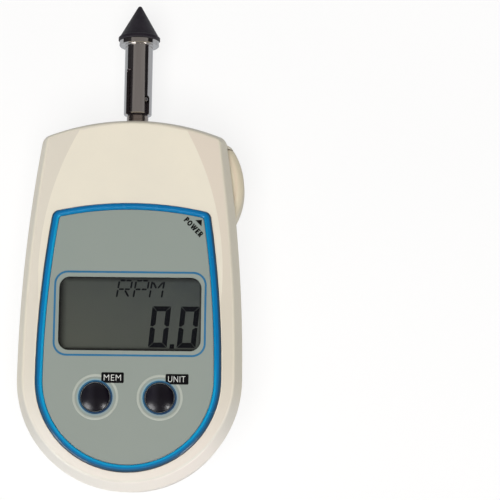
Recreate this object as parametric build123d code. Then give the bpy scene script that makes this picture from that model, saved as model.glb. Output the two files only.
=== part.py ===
from build123d import *
import os
from math import sin, cos, tan, radians, degrees, sqrt, atan2, asin, pi

# Hand-held contact tachometer, lying on its back.
# Millimetres. X to the right seen from the front, Y along the spindle towards the cone tip, Z out of the face.
# Everything is drawn with Y measured from the bottom end of the case, then moved by -MID_Y, so that the row's
# origin is on the flat back, on the centre line, halfway along the whole length.

# ---------------------------------------------------------------- driving dimensions
MID_Y = 64.0             # half of the whole length, tip to bottom end

# case outline at its widest level: bottom arc, long side arcs, crowned top end, corner arcs
OUT_R = 28.33            # bottom arc, centred on (0, OUT_R)
OUT_SIDE_R = 390.0
OUT_TOP_R = 60.0
OUT_TOP_Y = 95.0
OUT_CORNER = 2.8
PART_Z = 24.5            # level of the joint between the two case halves, the widest level
FACE_Z = 30.0
FACE_IN = 2.0            # how far the face edge lies inside the widest outline
FACE_IN_TOP = 1.65       # the same at the crowned top end
FACE_CORNER = 0.95
BACK_DRAFT = 5.0         # degrees
BACK_ROUND = 5.0         # rounding between the back and the walls
WALL = 2.0
FACE_INNER_Z = 28.2      # underside of the face wall
FACET_DEG = 7.0          # slope of the shoulders beside the raised centre of the face
LIP_IN, LIP_H = 1.1, 1.2

# bezel ring
RING_R, RING_Y = 23.23, 27.6
RING_SIDE_R = 268.0
RING_TOP_R, RING_TOP_Y = 86.0, 72.35
RING_CORNER, RING_W = 1.9, 1.9
RING_TOP_K = 0.89          # the ring is this much narrower along its top
RING_Z0, RING_Z1 = 29.2, 30.8
PANEL_Z0, PANEL_Z1 = 29.7, 30.2

# display
WIN_W, WIN_Y0, WIN_Y1, WIN_R = 35.64, 34.76, 53.4, 2.7
WIN_XC = 0.12              # the display sits a little right of the centre line
WIN_YC = (WIN_Y0 + WIN_Y1) / 2
GLASS_Z0, GLASS_Z1 = 25.4, 27.6

# round buttons
BTN_X, BTN_Y, BTN_R = 8.0, 23.05, 3.5
BTN_TRAVEL = 0.6

# crescent power button
PB_R, PB_CX, PB_CY = 18.0, 10.03, 78.5
PB_Y0, PB_Y1, PB_Z0, PB_Z1 = 69.4, 88.1, 11.5, 22.5
PB_TRAVEL = 1.0
LUG_TOP_R = 59.3         # arc that ends the fixed shoulder beyond the power button, about the crowned end's centre

# spindle and its bearings, axis along Y
AX_Z = 15.0
SHAFT_R, COLLAR_R, NOSE_R = 2.0, 2.78, 2.5
BRG_R, BRG_W = 4.5, 4.0
BRG_FRONT, BRG_REAR = 89.3, 77.0          # middle planes of the two bearings
BALL_R, BALL_PITCH_R, BALL_N = 0.75, 3.25, 7
PIN_Y, PIN_R, PIN_AZ = 102.5, 0.65, 45.0
SLOT_AZ = -40.0

# adaptor sleeve and cone tip
SLV_R, SLV_BORE, SLV_Y0, SLV_Y1 = 3.62, 2.56, 98.6, 117.1
FLG_R, FLG_Y1 = 5.16, 118.5
CONE_R, CONE_RIM, CONE_TIP_R, TIP_Y = 5.42, 1.0, 0.6, 128.0

# cells and their tray
CELL_R, CELL_L, CELL_X, CELL_Z = 5.25, 44.5, 5.65, 7.9
TRAY_X, TRAY_Y0, TRAY_Y1, TRAY_Z = 11.2, 9.5, 58.0, 13.5

# main board
PCB_Z0, PCB_Z1 = 21.8, 23.4
SCREW_TOP = (14.5, 84.0)
SCREW_LOW = (17.0, 24.0)
BOARD_SCREWS = [(-18.0, 63.0), (18.0, 63.0), (-10.0, 12.0), (10.0, 12.0)]

os.makedirs("parts", exist_ok=True)


# ---------------------------------------------------------------- helpers
def outline(rb, yb, rs, rt, ytop, rc, z):
    """Closed outline of six tangent arcs, symmetric about x = 0, at level z."""
    cs = (-(rs - rb), yb)
    ct = (0.0, ytop - rt)
    a, b = rs - rc, rt - rc
    dx, dy = ct[0] - cs[0], ct[1] - cs[1]
    d = sqrt(dx * dx + dy * dy)
    l = (a * a - b * b + d * d) / (2 * d)
    h = sqrt(a * a - l * l)
    px, py = cs[0] + dx * l / d, cs[1] + dy * l / d
    cc = max(((px - s * h * dy / d, py + s * h * dx / d) for s in (1, -1)), key=lambda q: q[0] + q[1])
    t1 = (cs[0] + (cc[0] - cs[0]) * rs / a, cs[1] + (cc[1] - cs[1]) * rs / a)
    t2 = (ct[0] + (cc[0] - ct[0]) * rt / b, ct[1] + (cc[1] - ct[1]) * rt / b)

    def mid(c, r, p, q):
        m = ((p[0] + q[0]) / 2 - c[0], (p[1] + q[1]) / 2 - c[1])
        k = r / sqrt(m[0] ** 2 + m[1] ** 2)
        return (c[0] + m[0] * k, c[1] + m[1] * k)

    def arc(p, m, q):
        return Edge.make_three_point_arc((p[0], p[1], z), (m[0], m[1], z), (q[0], q[1], z))

    br = (rb, yb)
    ms = mid(cs, rs, br, t1)
    mc = mid(cc, rc, t1, t2)
    f = lambda p: (-p[0], p[1])
    return Wire([
        arc(f(br), (0, yb - rb), br),
        arc(br, ms, t1),
        arc(t1, mc, t2),
        arc(t2, (0, ytop), f(t2)),
        arc(f(t2), f(mc), f(t1)),
        arc(f(t1), f(ms), f(br)),
    ])


def case_outline(d, rc, z):
    return outline(OUT_R - d, OUT_R, OUT_SIDE_R - d, OUT_TOP_R - d, OUT_TOP_Y - d, rc, z)


def ring_outline(d, rc, z):
    top = d * RING_TOP_K if d > 0 else d
    return outline(RING_R - d, RING_Y, RING_SIDE_R - d, RING_TOP_R - top, RING_TOP_Y - top, rc, z)


def prism(wire, z0, z1):
    """Straight prism of a flat wire drawn at level z0."""
    return Solid.extrude(Face(wire), Vector(0, 0, z1 - z0))


def box(x0, x1, y0, y1, z0, z1):
    return Pos((x0 + x1) / 2, (y0 + y1) / 2, (z0 + z1) / 2) * Box(x1 - x0, y1 - y0, z1 - z0)


def zcyl(x, y, r, z0, z1):
    return Pos(x, y, (z0 + z1) / 2) * Cylinder(r, z1 - z0)


def ycyl(r, y0, y1, x=0.0, z=AX_Z):
    return Pos(x, (y0 + y1) / 2, z) * Rot(90, 0, 0) * Cylinder(r, y1 - y0)


def ytube(r1, r0, y0, y1, x=0.0, z=AX_Z):
    return ycyl(r1, y0, y1, x, z) - ycyl(r0, y0 - 1, y1 + 1, x, z)


def rbox(w, h, r, xc, yc, z0, z1):
    return Pos(xc, yc, z0) * extrude(RectangleRounded(w, h, r), z1 - z0)


def turned(points, x=0.0, z=AX_Z):
    """Solid turned about the spindle axis from (radius, y) points."""
    w = Wire([Edge.make_line((x + points[i][0], points[i][1], z), (x + points[(i + 1) % len(points)][0], points[(i + 1) % len(points)][1], z)) for i in range(len(points))])
    return Solid.revolve(Face(w), 360, Axis((x, 0, z), (0, 1, 0)))


def solids(shape):
    return list(shape.solids())


def put(name, *shapes):
    """Writes one node: its solids, moved into the row's frame."""
    found = [s for sh in shapes for s in solids(sh)]
    moved = [s.moved(Location((0, -MID_Y, 0))) for s in found]
    out = moved[0] if len(moved) == 1 else Compound(children=moved)
    export_step(out, "parts/%s.step" % name)
    return out


# ---------------------------------------------------------------- rear case: a drafted tub with rounded back edges
t5 = tan(radians(BACK_DRAFT))
z_line = BACK_ROUND * (1 - sin(radians(BACK_DRAFT)))
d_line = (PART_Z - z_line) * t5
d_mid = d_line + BACK_ROUND * cos(radians(BACK_DRAFT))


def rear_shape(inset, round_r):
    """The tub's outer surface (inset 0) or inner surface: a drafted wall above a smooth rounding."""
    def level(d, z):
        rc = max(OUT_CORNER + 0.9 * (d - inset) - inset * 0.8, 0.9)
        return case_outline(d, rc, z)

    a = radians(BACK_DRAFT)
    d0, z0 = d_mid - round_r * cos(a), BACK_ROUND - round_r * sin(a)
    walls = Solid.make_loft([level(d0, z0), level(inset, PART_Z)], ruled=True)
    rounding = []
    for th in (90, 78, 66, 54, 42, 30, 18, BACK_DRAFT):
        a = radians(th)
        rounding.append(level(d_mid - round_r * cos(a), BACK_ROUND - round_r * sin(a)))
    foot = Solid.make_loft(rounding, ruled=False)
    return Part() + walls + foot


def top_edges(shape, z):
    return [e for e in shape.edges() if e.bounding_box().min.Z > z - 0.02 and e.bounding_box().max.Z < z + 0.02]


rear_raw = rear_shape(0.0, BACK_ROUND)
rear_outer = fillet(top_edges(rear_raw, PART_Z), 0.3)
rear_inner = rear_shape(WALL, BACK_ROUND - WALL)
shell = Part() + rear_outer - rear_inner

# cell tray, open towards the back, with rails beside the door
adds = box(-TRAY_X - 1.2, TRAY_X + 1.2, TRAY_Y0 - 1.2, TRAY_Y1 + 1.2, 1.0, TRAY_Z + 1.2)
adds = adds + box(-14.0, 14.0, TRAY_Y0 - 1.2, TRAY_Y1 + 1.2, 1.0, 3.0)
adds = adds + box(-12.8, 12.8, 1.5, TRAY_Y0 - 1.0, 1.0, 6.8)
for sx in (1, -1):
    for (x, y) in (SCREW_TOP, SCREW_LOW):
        adds = adds + zcyl(sx * x, y, 3.25, 1.0, 20.0)
    adds = adds + zcyl(sx * 8.6, 83.5, 2.3, 1.0, 5.0)
rear = shell + (adds & rear_raw)
# lip that stands into the front case
lip = prism(case_outline(LIP_IN, 1.9, PART_Z - 0.8), PART_Z - 0.8, PART_Z + LIP_H) - prism(case_outline(WALL, 1.2, PART_Z - 1.0), PART_Z - 1.0, PART_Z + LIP_H + 1)
rear = rear + lip
rear = rear - box(-TRAY_X, TRAY_X, TRAY_Y0, TRAY_Y1, -1.0, TRAY_Z)
rear = rear - (box(-11.6, 11.6, -3.0, 58.35, -1.0, 2.05) + box(-11.6, 11.6, -3.0, TRAY_Y0 - 1.2, -1.0, 5.6))
rear = rear - (box(-12.75, 12.75, -3.0, 58.35, 0.75, 1.85) + box(-4.2, 4.2, 58.0, 59.9, 1.0, 1.95))
for sx in (1, -1):
    for (x, y) in (SCREW_TOP, SCREW_LOW):
        rear = rear - zcyl(sx * x, y, 2.7, -1.0, 12.0) - zcyl(sx * x, y, 1.45, 11.0, 21.0)
    rear = rear - zcyl(sx * 8.6, 83.5, 0.85, 2.6, 6.0)
    rear = rear - box(sx * CELL_X - 1.7, sx * CELL_X + 1.7, TRAY_Y0 + 0.1, TRAY_Y0 + 0.75, TRAY_Z - 1, TRAY_Z + 2)
rear = rear - ycyl(3.1, 89.0, 97.0)
rear = rear - box(18.5, 31.0, PB_Y0 - 0.3, PB_Y1 + 0.3, PB_Z0 - 0.3, PB_Z1 + 0.3)
# small fixed shoulder at the corner, in line with the power button's crescent
crescent = zcyl(PB_CX, PB_CY, PB_R, PB_Z0, PB_Z1)
crescent = fillet([e for e in crescent.edges() if e.geom_type == GeomType.CIRCLE], 2.4)
lug = crescent & box(21.7, 28.0, PB_Y1 + 0.3, 92.0, PB_Z0, PB_Z1) & zcyl(0, OUT_TOP_Y - OUT_TOP_R, LUG_TOP_R, PB_Z0 - 1, PB_Z1 + 1)
rear = rear + lug
put("rear_case", rear)

# battery door: the same skin, cut out of the back and the bottom end, with side tongues and a latch tab
door = shell & box(-11.45, 11.45, -3.0, 58.2, -1.0, 5.4)
for sx in (1, -1):
    door = door + box(sx * 11.95 - 0.65, sx * 11.95 + 0.65, 14.0, 57.0, 0.95, 1.7)
door = door + box(-4.0, 4.0, 57.0, 59.6, 1.1, 1.85)
door = door - box(-12.0, 12.0, 7.5, 60.0, 1.98, 6.0)
for k in range(6):
    door = door - box(-7.0, 7.0, 45.0 + 1.7 * k, 45.8 + 1.7 * k, -1.0, 0.4)
put("battery_door", door)

# ---------------------------------------------------------------- front case: shallow lid with a raised centre
face_outline = outline(OUT_R - FACE_IN, OUT_R, OUT_SIDE_R - FACE_IN, OUT_TOP_R - FACE_IN_TOP, OUT_TOP_Y - FACE_IN_TOP, FACE_CORNER, FACE_Z)
front_body = Solid.make_loft([case_outline(0.0, OUT_CORNER, PART_Z), face_outline], ruled=True)


def mesa_wire(off, z):
    """Upper part of the raised centre: two long arcs between straight ends."""
    c, r, y0, y1 = (-52.86, 54.4), 76.0 + off, 30.0 - off, 100.0 + off
    xa = c[0] + sqrt(r * r - (y0 - c[1]) ** 2)
    xb = c[0] + sqrt(r * r - (y1 - c[1]) ** 2)
    m = (c[0] + r, c[1])
    return Wire([
        Edge.make_line((-xa, y0, z), (xa, y0, z)),
        Edge.make_three_point_arc((xa, y0, z), (m[0], m[1], z), (xb, y1, z)),
        Edge.make_line((xb, y1, z), (-xb, y1, z)),
        Edge.make_three_point_arc((-xb, y1, z), (-m[0], m[1], z), (-xa, y0, z)),
    ])


drop = 3.0
run = drop / tan(radians(FACET_DEG))
mesa_low = Solid.make_loft([ring_outline(-0.3 - run, RING_CORNER + run, FACE_Z - drop), ring_outline(-0.3, RING_CORNER + 0.3, FACE_Z)], ruled=True)
mesa_top = Solid.make_loft([mesa_wire(run, FACE_Z - drop), mesa_wire(0.0, FACE_Z)], ruled=True)
below = box(-60, 60, -30, 140, 20.0, FACE_Z - drop)
front = front_body & (below + mesa_low + mesa_top)
face_edges = {}
for f in front.faces():
    b = f.bounding_box()
    if b.min.Z < PART_Z + 0.02 and b.max.Z > PART_Z + 1:
        for e in f.edges():
            if e.bounding_box().min.Z > 27:
                c = e.center()
                face_edges[(round(c.X, 3), round(c.Y, 3), round(c.Z, 3))] = e
front = fillet(list(face_edges.values()), 0.9)
front = fillet([e for e in front.edges() if e.bounding_box().max.Z < PART_Z + 0.02], 0.3)
front = Part() + front

front = front - Solid.make_loft([case_outline(WALL - 0.1, 1.2, PART_Z - 0.3), case_outline(WALL + 1.35, 0.8, FACE_INNER_Z)], ruled=True)
front = front - prism(case_outline(LIP_IN - 0.1, 2.0, PART_Z - 1), PART_Z - 1, PART_Z + LIP_H + 0.1)
for sx in (1, -1):
    for (x, y) in (SCREW_TOP, SCREW_LOW):
        front = front + zcyl(sx * x, y, 2.8, 20.05, FACE_INNER_Z + 0.2)
for (x, y) in BOARD_SCREWS:
    front = front + zcyl(x, y, 2.2, PCB_Z1, FACE_INNER_Z + 0.2)
front = front - (prism(ring_outline(-0.05, RING_CORNER + 0.05, RING_Z0), RING_Z0, 32.0) - prism(ring_outline(RING_W + 0.05, 0.75, RING_Z0 - 1), RING_Z0 - 1, PANEL_Z0))
front = front - rbox(39.4, 22.7, 3.6, WIN_XC, WIN_YC, 28.9, 31.0)
front = front - rbox(37.34, 20.34, 3.3, WIN_XC, WIN_YC, 27.0, 30.0)
for sx in (1, -1):
    front = front - zcyl(sx * BTN_X, BTN_Y, BTN_R + 0.12, 27.0, 31.0)
    for (x, y) in (SCREW_TOP, SCREW_LOW):
        front = front - zcyl(sx * x, y, 1.28, 19.0, 26.6)
for (x, y) in BOARD_SCREWS:
    front = front - zcyl(x, y, 1.03, 22.0, 26.9)
put("front_case", front)

# ---------------------------------------------------------------- bezel ring and panel
ring = prism(ring_outline(0.0, RING_CORNER, RING_Z0), RING_Z0, RING_Z1) - prism(ring_outline(RING_W, 0.75, RING_Z0 - 1), RING_Z0 - 1, RING_Z1 + 1)
ring = fillet(top_edges(ring, RING_Z1), 0.78)
put("bezel_ring", ring)

panel = prism(ring_outline(RING_W + 0.08, 0.7, PANEL_Z0), PANEL_Z0, PANEL_Z1)
panel = panel - rbox(WIN_W, WIN_Y1 - WIN_Y0, WIN_R, WIN_XC, WIN_YC, 29.0, 31.0)
for sx in (1, -1):
    panel = panel - zcyl(sx * BTN_X, BTN_Y, BTN_R + 0.12, 29.0, 31.0)
put("front_panel", panel)

# ---------------------------------------------------------------- display
put("display_window", rbox(39.2, 22.5, 3.5, WIN_XC, WIN_YC, 28.9, 29.7))
put("display_glass", box(-20.5, 20.5, WIN_YC - 11.6, WIN_YC + 11.6, GLASS_Z0, GLASS_Z1))
frame = box(-22.0, 22.0, WIN_YC - 13.2, WIN_YC + 13.2, PCB_Z1, 28.1) + rbox(37.04, 20.04, 3.15, WIN_XC, WIN_YC, 27.9, 28.85)
frame = frame - box(-20.6, 20.6, WIN_YC - 11.7, WIN_YC + 11.7, PCB_Z1 - 1, GLASS_Z1)
frame = frame - rbox(35.84, 18.84, 2.8, WIN_XC, WIN_YC, 27.0, 30.0)
put("display_frame", frame)
put("display_connector", box(-18.5, 18.5, WIN_YC - 10.8, WIN_YC - 8.8, PCB_Z1, GLASS_Z0))


# ---------------------------------------------------------------- round buttons and their switches
def turned_z(points, cap, x, y):
    """Solid turned about a vertical axis; cap = (start, mid, end) is an arc that closes the profile's top."""
    pts = [(x + r, y, z) for r, z in points]
    es = [Edge.make_line(pts[i], pts[i + 1]) for i in range(len(pts) - 1)]
    a, m, b = [(x + r, y, z) for r, z in cap]
    es.append(Edge.make_three_point_arc(a, m, b))
    es.append(Edge.make_line(b, pts[0]))
    return Solid.revolve(Face(Wire(es)), 360, Axis((x, y, 0), (0, 0, 1)))


cap_h = 1.25
cap_r = (BTN_R ** 2 + cap_h ** 2) / (2 * cap_h)
for name, sx in (("mem", -1), ("unit", 1)):
    x = sx * BTN_X
    half = asin(BTN_R / cap_r) / 2
    top = 30.3 + cap_h
    btn = turned_z([(0, 25.6), (1.5, 25.6), (1.5, 27.0), (4.6, 27.0), (4.6, 27.8), (BTN_R, 27.8), (BTN_R, 30.3)],
                   [(BTN_R, 30.3), (cap_r * sin(half), top - cap_r * (1 - cos(half))), (0, top)], x, BTN_Y)
    put(name + "_button", btn)
    put(name + "_switch", box(x - 3, x + 3, BTN_Y - 3, BTN_Y + 3, PCB_Z1, 24.9) - zcyl(x, BTN_Y, 1.35, 23.7, 26.0))
    put(name + "_switch_plunger", zcyl(x, BTN_Y, 1.25, 24.35, 25.6))

# ---------------------------------------------------------------- crescent power button and its side switch
pb = zcyl(PB_CX, PB_CY, PB_R, PB_Z0, PB_Z1) & box(19.6, 31.0, PB_Y0, PB_Y1, PB_Z0, PB_Z1)
rim = [e for e in pb.edges() if e.geom_type == GeomType.CIRCLE]
pb = fillet(rim, 2.4)
for y_end, r_end in ((PB_Y0, 0.5), (PB_Y1, 0.3)):
    ends = [e for e in pb.edges() if e.geom_type != GeomType.CIRCLE and e.center().X > 22.0 and abs(e.center().Y - y_end) < 0.02]
    pb = fillet(ends, r_end)
flange = (prism(case_outline(3.55, 2.0, 10.2), 10.2, 21.3) - prism(case_outline(4.8, 1.0, 9.0), 9.0, 22.0)) & box(15.0, 30.0, 66.4, 87.3, 10.2, 21.3)
pb = Part() + pb + flange + box(18.3, 21.4, 74.3, 77.3, 17.8, 20.8)
put("power_button", pb)


def xcyl(r, x0, x1, y, z):
    return Pos((x0 + x1) / 2, y, z) * Rot(0, 90, 0) * Cylinder(r, x1 - x0)


put("power_switch", box(12.4, 16.8, 73.0, 78.6, 17.2, PCB_Z0) - xcyl(1.2, 14.6, 18.0, 75.8, 19.3))
put("power_switch_plunger", xcyl(1.1, 15.9, 18.3, 75.8, 19.3))

# ---------------------------------------------------------------- main board and what it carries
board = prism(case_outline(2.9, 1.5, PCB_Z0), PCB_Z0, PCB_Z1)
board = board - box(17.3, 32.0, 64.5, 96.0, 20.0, 25.0) - box(-32.0, 32.0, 88.5, 98.0, 20.0, 25.0)
for sx in (1, -1):
    for (x, y) in (SCREW_TOP, SCREW_LOW):
        board = board - zcyl(sx * x, y, 3.1, 20.0, 25.0)
for (x, y) in BOARD_SCREWS:
    board = board - zcyl(x, y, 1.15, 20.0, 25.0)
put("main_board", board)
chip = box(-5.0, 5.0, 38.0, 48.0, 20.5, 21.6)
for k in range(8):
    for sx in (1, -1):
        chip = chip + box(sx * 5.6 - 0.7, sx * 5.6 + 0.7, 39.3 + 1.0 * k, 39.7 + 1.0 * k, 21.3, PCB_Z0)
put("controller_chip", chip)
put("timing_crystal", Pos(11.5, 43.0, 18.5) * extrude(SlotOverall(11.0, 4.4, rotation=90), 3.3))

# slotted light sensor astride the slotted disc
DISC_Y = 69.9
sensor = box(-2.5, 2.5, DISC_Y - 4.0, DISC_Y + 4.0, 20.9, PCB_Z0)
for s in (1, -1):
    sensor = sensor + box(-2.5, 2.5, DISC_Y + s * 2.75 - 1.25, DISC_Y + s * 2.75 + 1.25, 18.4, 21.0)
put("light_sensor", sensor)

# ---------------------------------------------------------------- spindle, bearings, housing
c2 = 0.2
spindle = turned([(0, 66.0), (SHAFT_R - c2, 66.0), (SHAFT_R, 66.0 + c2), (SHAFT_R, 74.3), (1.6, 74.3), (1.6, 74.9), (SHAFT_R, 74.9),
                  (SHAFT_R, BRG_FRONT + 2.0), (COLLAR_R, BRG_FRONT + 2.0), (COLLAR_R, 98.2), (COLLAR_R - 0.15, 98.35), (NOSE_R, 98.35),
                  (NOSE_R, 111.6), (NOSE_R - 0.4, 112.0), (0, 112.0)])
aim = (sin(radians(PIN_AZ)), 0.0, cos(radians(PIN_AZ)))
pin_place = Plane(origin=(0, PIN_Y, AX_Z), x_dir=(0, 1, 0), z_dir=aim)
spindle = Part() + spindle - (pin_place * Cylinder(PIN_R, 8.0))
put("spindle", spindle)
pin = pin_place * Cylinder(PIN_R, 6.9)
pin = fillet(pin.edges().filter_by(GeomType.CIRCLE), 0.45)
put("drive_pin", pin)
clip = ytube(3.1, 1.62, 74.35, 74.85) - box(-0.9, 0.9, 74.0, 75.0, AX_Z, AX_Z + 4)
put("retaining_clip", clip)
put("bearing_spacer", ytube(2.7, SHAFT_R, BRG_REAR + 2.0, BRG_FRONT - 2.0))
for name, yc in (("front", BRG_FRONT), ("rear", BRG_REAR)):
    groove = Pos(0, yc, AX_Z) * Rot(90, 0, 0) * Torus(BALL_PITCH_R, BALL_R + 0.04)
    put(name + "_bearing_outer_ring", ytube(BRG_R, 3.75, yc - 2, yc + 2) - groove)
    put(name + "_bearing_inner_ring", ytube(2.75, SHAFT_R, yc - 2, yc + 2) - groove)
    spots = [(BALL_PITCH_R * sin(2 * pi * k / BALL_N), BALL_PITCH_R * cos(2 * pi * k / BALL_N)) for k in range(BALL_N)]
    put(name + "_bearing_balls", *[Pos(a, yc, AX_Z + b) * Sphere(BALL_R) for a, b in spots])
    cage = ytube(3.55, 2.95, yc + 0.05, yc + 1.2)
    for a, b in spots:
        cage = cage - Pos(a, yc, AX_Z + b) * Sphere(BALL_R + 0.06)
    put(name + "_bearing_cage", cage)
    put(name + "_bearing_shields", *[ytube(3.75, 2.87, yc + s * 1.75 - 0.1, yc + s * 1.75 + 0.1) for s in (1, -1)])
housing = ycyl(6.2, 74.6, 91.3) + box(-5.5, 5.5, 76.0, 91.0, 6.5, AX_Z) + box(-10.9, 10.9, 77.5, 89.5, 5.0, 7.0)
housing = housing - ycyl(BRG_R, BRG_FRONT - 2.0, 93.0) - ycyl(BRG_R, 73.0, BRG_REAR + 2.0) - ycyl(3.7, 76.0, 90.0)
for sx in (1, -1):
    housing = housing - zcyl(sx * 8.6, 83.5, 0.95, 4.0, 8.0)
put("bearing_housing", housing)
disc = ytube(2.8, SHAFT_R, DISC_Y - 1.7, DISC_Y + 1.7) + ytube(5.4, 2.5, DISC_Y - 0.3, DISC_Y + 0.3)
for k in range(12):
    a = 30.0 * k
    disc = disc - Pos(0, DISC_Y, AX_Z) * Rot(0, a, 0) * Pos(0, 0, 4.2) * Box(0.95, 2.0, 1.3)
put("slotted_disc", disc)

# ---------------------------------------------------------------- adaptor sleeve and rubber cone
sleeve = turned([(SLV_BORE, SLV_Y0), (SLV_R - 0.3, SLV_Y0), (SLV_R - 0.09, SLV_Y0 + 0.09), (SLV_R, SLV_Y0 + 0.3), (SLV_R, SLV_Y1 - 0.35),
                 (SLV_R + 0.1, SLV_Y1 - 0.1), (SLV_R + 0.35, SLV_Y1), (FLG_R - 0.2, SLV_Y1), (FLG_R, SLV_Y1 + 0.2),
                 (FLG_R, FLG_Y1 - 0.15), (FLG_R - 0.15, FLG_Y1), (2.0, FLG_Y1), (2.0, 122.5), (0, 122.5), (0, 113.8), (SLV_BORE, 112.8)])
sleeve = Part() + sleeve


def slot_cut(az, width, y_end):
    a = radians(az)
    cut = Pos(0, (96.0 + y_end - width / 2) / 2, AX_Z) * Rot(0, az, 0) * Box(width, y_end - width / 2 - 96.0, 12.0)
    place = Plane(origin=(0, y_end - width / 2, AX_Z), x_dir=(0, 1, 0), z_dir=(sin(a), 0, cos(a)))
    return cut + place * Cylinder(width / 2, 12.0)


sleeve = sleeve - slot_cut(SLOT_AZ, 1.75, 110.8) - slot_cut(PIN_AZ, 1.55, PIN_Y + PIN_R + 0.25)
put("adaptor_sleeve", sleeve)

tip_c = TIP_Y - CONE_TIP_R
px, py = 5.1, FLG_Y1 + 1.1
half = atan2(px, tip_c - py) - asin(CONE_TIP_R / sqrt(px ** 2 + (tip_c - py) ** 2))
tx, ty = CONE_TIP_R * cos(half), tip_c + CONE_TIP_R * sin(half)
am = (half + pi / 2) / 2
prof = [(2.0, FLG_Y1), (CONE_R - 0.2, FLG_Y1), (CONE_R, FLG_Y1 + 0.2), (CONE_R, FLG_Y1 + CONE_RIM - 0.15), (CONE_R - 0.12, FLG_Y1 + CONE_RIM), (px, py), (tx, ty)]
es = [Edge.make_line((prof[i][0], prof[i][1], AX_Z), (prof[i + 1][0], prof[i + 1][1], AX_Z)) for i in range(len(prof) - 1)]
es.append(Edge.make_three_point_arc((tx, ty, AX_Z), (CONE_TIP_R * cos(am), tip_c + CONE_TIP_R * sin(am), AX_Z), (0, TIP_Y, AX_Z)))
es += [Edge.make_line((0, TIP_Y, AX_Z), (0, 122.5, AX_Z)), Edge.make_line((0, 122.5, AX_Z), (2.0, 122.5, AX_Z)), Edge.make_line((2.0, 122.5, AX_Z), (2.0, FLG_Y1, AX_Z))]
put("cone_tip", Solid.revolve(Face(Wire(es)), 360, Axis((0, 0, AX_Z), (0, 1, 0))))


# ---------------------------------------------------------------- cells and contacts
def cell(x, y_neg, s):
    """One cell: its flat end at y_neg, its nub towards s."""
    pts = [(0, 0), (CELL_R - 0.5, 0), (CELL_R, 0.5), (CELL_R, CELL_L - 1.3), (CELL_R - 0.5, CELL_L - 0.8), (1.9, CELL_L - 0.8), (1.9, CELL_L - 0.2), (1.7, CELL_L), (0, CELL_L)]
    return turned([(r, y_neg + s * y) for r, y in pts], x, CELL_Z)


put("battery_left", cell(-CELL_X, 13.0, 1))
put("battery_right", cell(CELL_X, 54.5, -1))


def spring(x, y0, y1):
    h = y1 - y0 - 0.6
    path = Pos(x, y0 + 0.3, CELL_Z) * Rot(-90, 0, 0) * Helix(1.2, h, 3.2)
    start = path @ 0
    return sweep(Plane(origin=start, z_dir=path % 0) * Circle(0.3), path, is_frenet=True)


put("battery_springs", spring(-CELL_X, 10.0, 13.0), spring(CELL_X, 54.5, 57.5))
for name, sx in (("left", -1), ("right", 1)):
    put("contact_plate_" + name, box(sx * CELL_X - 4.5, sx * CELL_X + 4.5, 9.6, 10.0, 3.2, 12.6) + box(sx * CELL_X - 1.5, sx * CELL_X + 1.5, 9.6, 10.0, 12.0, PCB_Z0))
put("contact_link_plate", box(-10.6, 10.6, 57.5, 57.9, 3.2, 12.6))


# ---------------------------------------------------------------- screws
def screw(x, y, z_seat, z_end, r, head_r, head_h):
    s = zcyl(x, y, head_r, z_seat - head_h, z_seat) + zcyl(x, y, r, z_seat - 0.2, z_end)
    w = head_r * 1.25
    s = s - box(x - w / 2, x + w / 2, y - 0.3, y + 0.3, z_seat - head_h - 1, z_seat - head_h * 0.45)
    return s - box(x - 0.3, x + 0.3, y - w / 2, y + w / 2, z_seat - head_h - 1, z_seat - head_h * 0.45)


put("case_screws", *[screw(sx * x, y, 12.0, 26.0, 1.25, 2.4, 1.8) for (x, y) in (SCREW_TOP, SCREW_LOW) for sx in (1, -1)])
put("board_screws", *[screw(x, y, PCB_Z0, 26.4, 1.0, 1.9, 1.4) for (x, y) in BOARD_SCREWS])


def screw_down(x, y, z_seat, z_end, r, head_r, head_h):
    s = zcyl(x, y, head_r, z_seat, z_seat + head_h) + zcyl(x, y, r, z_end, z_seat + 0.2)
    w = head_r * 1.25
    s = s - box(x - w / 2, x + w / 2, y - 0.25, y + 0.25, z_seat + head_h * 0.45, z_seat + head_h + 1)
    return s - box(x - 0.25, x + 0.25, y - w / 2, y + w / 2, z_seat + head_h * 0.45, z_seat + head_h + 1)


put("housing_screws", *[screw_down(sx * 8.6, 83.5, 7.0, 2.8, 0.8, 1.7, 1.3) for sx in (1, -1)])
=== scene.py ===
import math

import bpy
from mathutils import Matrix, Vector


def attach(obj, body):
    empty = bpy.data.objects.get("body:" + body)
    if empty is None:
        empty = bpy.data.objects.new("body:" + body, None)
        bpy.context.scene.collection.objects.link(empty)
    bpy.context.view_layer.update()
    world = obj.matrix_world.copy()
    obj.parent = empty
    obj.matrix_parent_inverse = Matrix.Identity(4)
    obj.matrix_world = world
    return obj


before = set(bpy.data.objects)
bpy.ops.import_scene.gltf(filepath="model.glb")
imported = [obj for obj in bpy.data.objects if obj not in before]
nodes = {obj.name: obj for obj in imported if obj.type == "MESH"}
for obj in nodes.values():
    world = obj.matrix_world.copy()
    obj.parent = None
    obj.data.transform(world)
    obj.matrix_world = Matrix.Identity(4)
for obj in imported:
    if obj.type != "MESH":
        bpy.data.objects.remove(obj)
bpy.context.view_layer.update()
scene = bpy.context.scene
scene.view_settings.view_transform = "Standard"
scene.view_settings.look = "None"

MM = 0.001
MID_Y = 64.0        # millimetres from the bottom end of the case to the row's origin


def P(x, y, z):
    """Point drawn in millimetres with y measured from the bottom end of the case, in the row frame."""
    return Vector((x * MM, (y - MID_Y) * MM, z * MM))


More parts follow.
